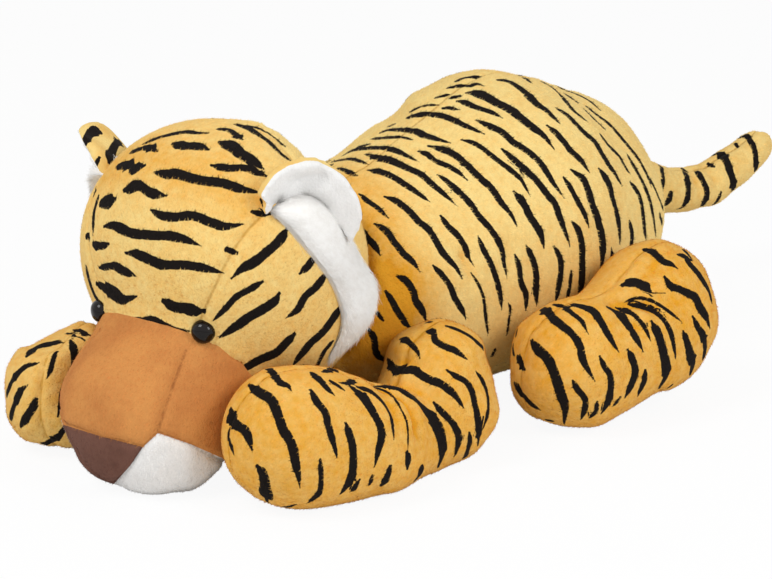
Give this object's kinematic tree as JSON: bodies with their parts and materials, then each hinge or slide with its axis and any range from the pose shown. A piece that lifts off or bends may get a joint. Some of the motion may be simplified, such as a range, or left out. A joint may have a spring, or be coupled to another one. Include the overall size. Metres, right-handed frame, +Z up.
{
  "type": "plush tiger",
  "caption": "Stuffed plush tiger lying on its belly with its chin between its front paws, with sewn-on head, ears, legs and tail that move a little.",
  "frame": {"origin": "on the underside of the belly, below the middle of the torso, where it rests on the floor", "axes": "+Z up from the floor, +Y from the nose towards the tail, +X to the tiger's left"},
  "size_m": [0.3286, 0.6067, 0.1849],
  "materials": {
    "striped_plush": "short velvety pile, pale yellow with black stripes",
    "brown_plush": "short velvety pile, brown",
    "nose_plush": "short velvety pile, dark brown",
    "white_plush": "short velvety pile, white",
    "white_fur": "long soft pile, white",
    "stuffing": "loose polyester fibre fill",
    "eye_plastic": "glossy black",
    "washer_plastic": "white"
  },
  "bodies": {
    "torso": {"back_panel_left": "striped_plush", "back_panel_right": "striped_plush", "belly_panel": "striped_plush", "torso_stuffing": "stuffing"},
    "head": {"forehead_panel": "striped_plush", "head_back_panel": "striped_plush", "throat_panel": "striped_plush", "cheek_panel_left": "striped_plush", "cheek_panel_right": "striped_plush", "head_stuffing": "stuffing", "eye_left": "eye_plastic", "eye_right": "eye_plastic", "eye_washer_left": "washer_plastic", "eye_washer_right": "washer_plastic", "nose_panel": "nose_plush", "muzzle_top_panel": "brown_plush", "muzzle_side_left": "brown_plush", "muzzle_side_right": "brown_plush", "chin_panel": "white_plush", "muzzle_stuffing": "stuffing", "cheek_ruff_left": "white_fur", "cheek_ruff_right": "white_fur"},
    "ear_left": {"ear_back_left": "striped_plush", "ear_lining_left": "white_plush"},
    "ear_right": {"ear_back_right": "striped_plush", "ear_lining_right": "white_plush"},
    "front_leg_left": {"front_leg_left_outer_panel": "striped_plush", "front_leg_left_inner_panel": "striped_plush", "front_leg_left_stuffing": "stuffing"},
    "front_leg_right": {"front_leg_right_outer_panel": "striped_plush", "front_leg_right_inner_panel": "striped_plush", "front_leg_right_stuffing": "stuffing"},
    "hind_leg_left": {"hind_leg_left_outer_panel": "striped_plush", "hind_leg_left_inner_panel": "striped_plush", "hind_leg_left_stuffing": "stuffing"},
    "hind_leg_right": {"hind_leg_right_outer_panel": "striped_plush", "hind_leg_right_inner_panel": "striped_plush", "hind_leg_right_stuffing": "stuffing"},
    "tail": {"tail_panel_left": "striped_plush", "tail_panel_right": "striped_plush", "tail_stuffing": "stuffing"}
  },
  "joints": [
    {"name": "head_nod", "type": "hinge", "parent": "torso", "child": "head", "pos_m": [0, -0.143, 0.107], "axis": [-0.9976, -0.0698, 0], "range_deg": [0, 20]},
    {"name": "ear_left_fold", "type": "hinge", "parent": "head", "child": "ear_left", "pos_m": [0.06731, -0.1493, 0.15323], "axis": [0.3177, 0.8896, -0.3282], "range_deg": [-10, 10], "stiffness_Nm_per_rad": 0.05},
    {"name": "ear_right_fold", "type": "hinge", "parent": "head", "child": "ear_right", "pos_m": [-0.07136, -0.15911, 0.14325], "axis": [0.3779, -0.8424, 0.3842], "range_deg": [-10, 10], "stiffness_Nm_per_rad": 0.05},
    {"name": "front_leg_left_spread", "type": "hinge", "parent": "torso", "child": "front_leg_left", "pos_m": [0.09619, -0.079, 0.038], "axis": [0, 0, 1], "range_deg": [0, 25]},
    {"name": "front_leg_right_spread", "type": "hinge", "parent": "torso", "child": "front_leg_right", "pos_m": [-0.06224, -0.11, 0.026], "axis": [0, 0, -1], "range_deg": [0, 25]},
    {"name": "hind_leg_left_spread", "type": "hinge", "parent": "torso", "child": "hind_leg_left", "pos_m": [0.12463, 0.078, 0.0515], "axis": [0, 0, 1], "range_deg": [0, 25]},
    {"name": "hind_leg_right_spread", "type": "hinge", "parent": "torso", "child": "hind_leg_right", "pos_m": [-0.12463, 0.078, 0.0515], "axis": [0, 0, -1], "range_deg": [0, 25]},
    {"name": "tail_swing", "type": "hinge", "parent": "torso", "child": "tail", "pos_m": [0, 0.22155, 0.078], "axis": [0, 0, 1], "range_deg": [-30, 30], "stiffness_Nm_per_rad": 0.05}
  ]
}
